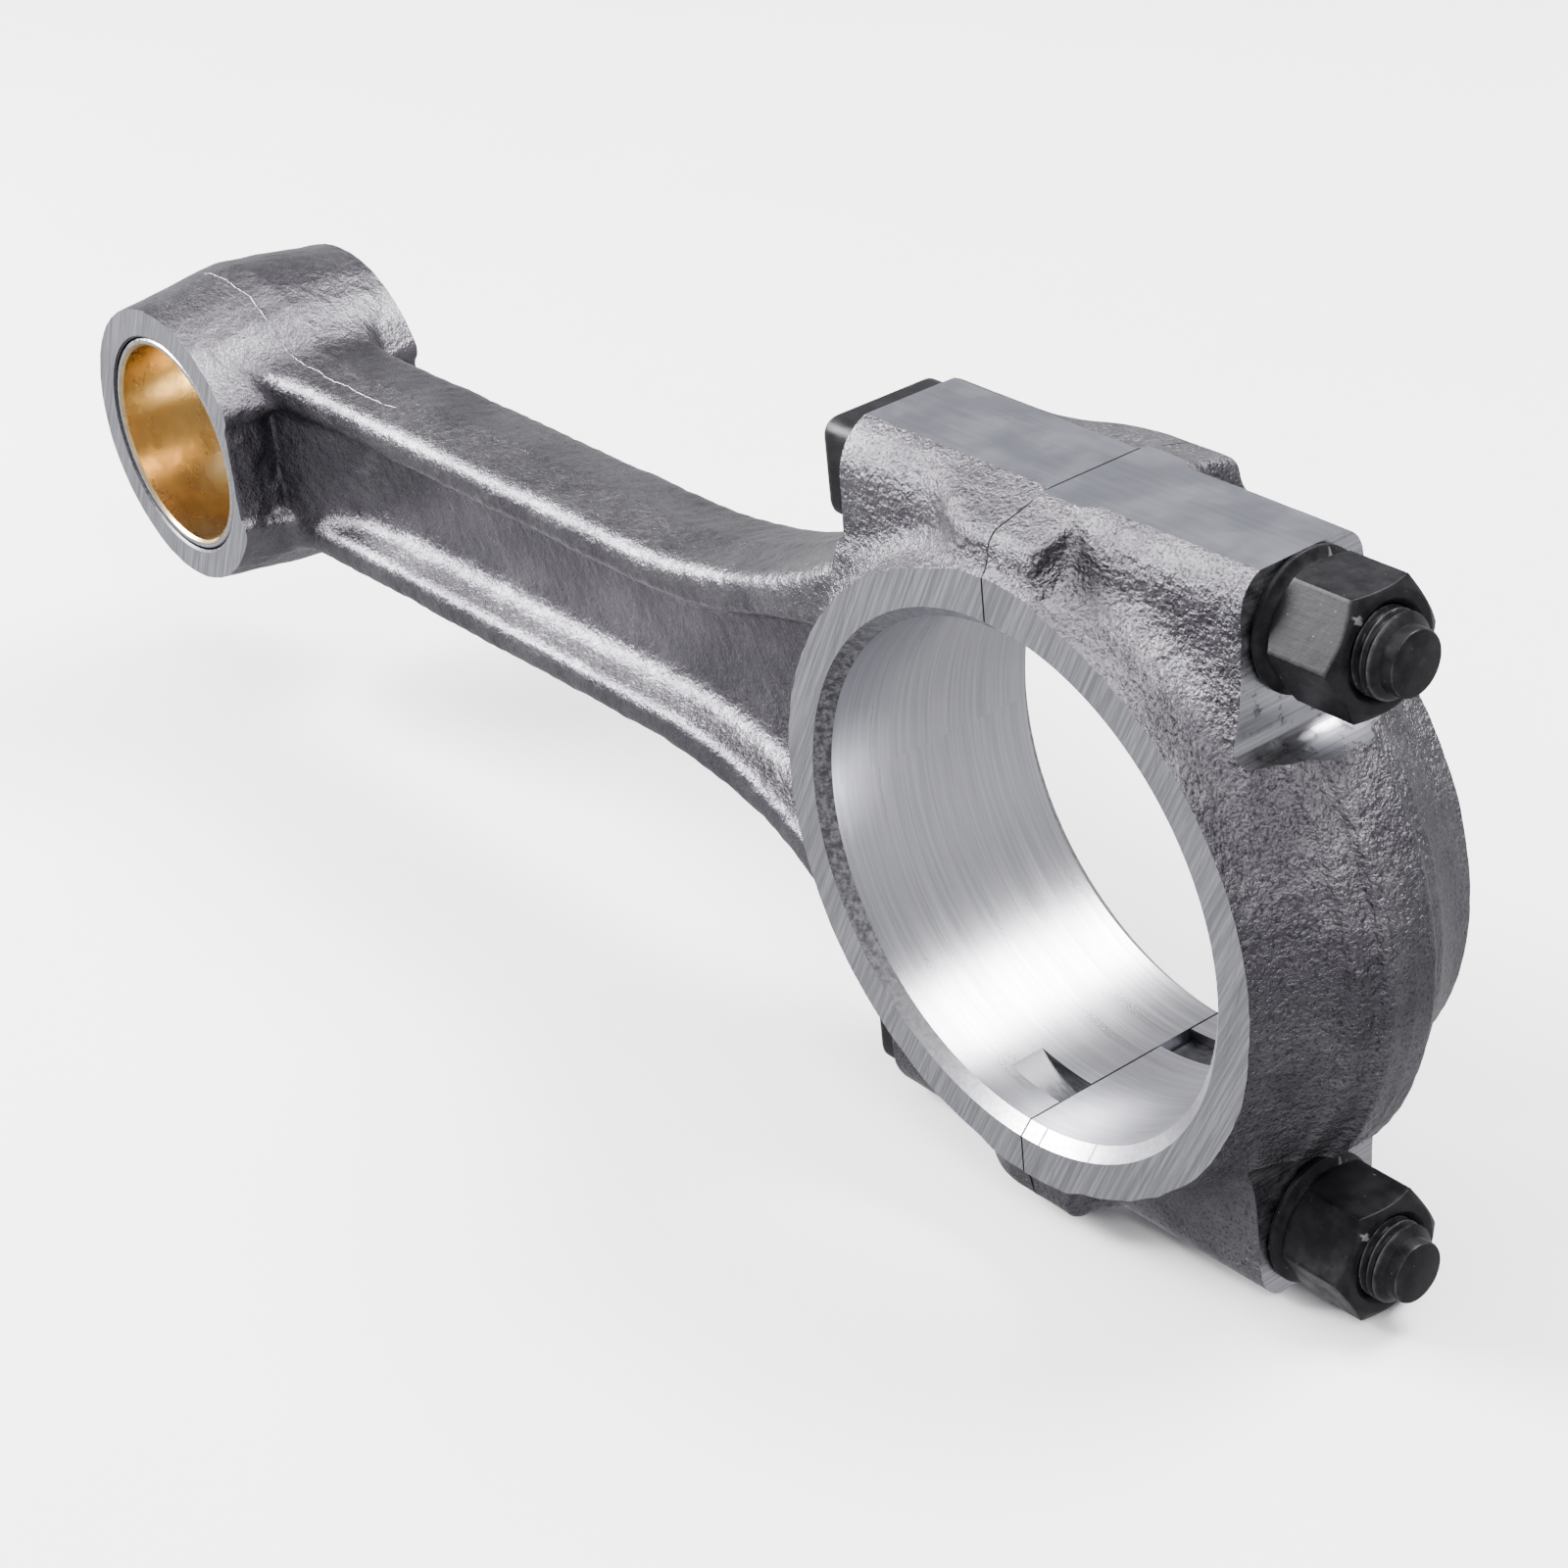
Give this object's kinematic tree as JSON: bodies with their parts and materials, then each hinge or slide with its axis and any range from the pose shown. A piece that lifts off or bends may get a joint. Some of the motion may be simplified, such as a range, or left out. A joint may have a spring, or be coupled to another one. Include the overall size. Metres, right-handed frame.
{
  "type": "connecting rod",
  "caption": "Forged engine connecting rod with an I-section shank, a bolted big-end cap with hexagon nuts, and a bronze-lined bush in the small end.",
  "frame": {"origin": "centre of the crank bore, midway between the two thrust faces of the big end", "axes": "+X along the rod's axis from the small end towards the cap, +Y along the crank axis, +Z from the lower bolt to the upper bolt"},
  "size_m": [0.2932, 0.0384, 0.1048],
  "materials": {
    "forged_steel": "shot-blasted steel forging with ground thrust faces, milled pads and honed bores",
    "bush_steel": "bright turned steel",
    "bush_bronze": "fine bored bronze, glossy",
    "black_oxide_steel": "oiled black oxide, worn bright on its edges"
  },
  "bodies": {
    "rod": {"rod_body": "forged_steel", "small_end_bush_back": "bush_steel", "small_end_bush_lining": "bush_bronze"},
    "cap": {"big_end_cap": "forged_steel"},
    "upper_nut": {"upper_nut": "black_oxide_steel"},
    "lower_nut": {"lower_nut": "black_oxide_steel"},
    "upper_bolt": {"upper_bolt": "black_oxide_steel"},
    "lower_bolt": {"lower_bolt": "black_oxide_steel"}
  },
  "joints": [
    {"name": "cap_slide", "type": "slide", "parent": "rod", "child": "cap", "axis": [1, 0, 0], "range_m": [0, 0.06]},
    {"name": "upper_nut_turn", "type": "hinge", "parent": "cap", "child": "upper_nut", "pos_m": [0.0416, 0, 0.0432], "axis": [1, 0, 0], "range_deg": [0, 17280]},
    {"name": "lower_nut_turn", "type": "hinge", "parent": "cap", "child": "lower_nut", "pos_m": [0.0416, 0, -0.0432], "axis": [1, 0, 0], "range_deg": [0, 17280]},
    {"name": "upper_bolt_slide", "type": "slide", "parent": "rod", "child": "upper_bolt", "axis": [-1, 0, 0], "range_m": [0, 0.09]},
    {"name": "lower_bolt_slide", "type": "slide", "parent": "rod", "child": "lower_bolt", "axis": [-1, 0, 0], "range_m": [0, 0.09]}
  ],
  "couplings": [
    {"joint": "upper_nut_turn", "follows": "cap_slide", "rad_per_m": 5026.5},
    {"joint": "lower_nut_turn", "follows": "cap_slide", "rad_per_m": 5026.5}
  ]
}
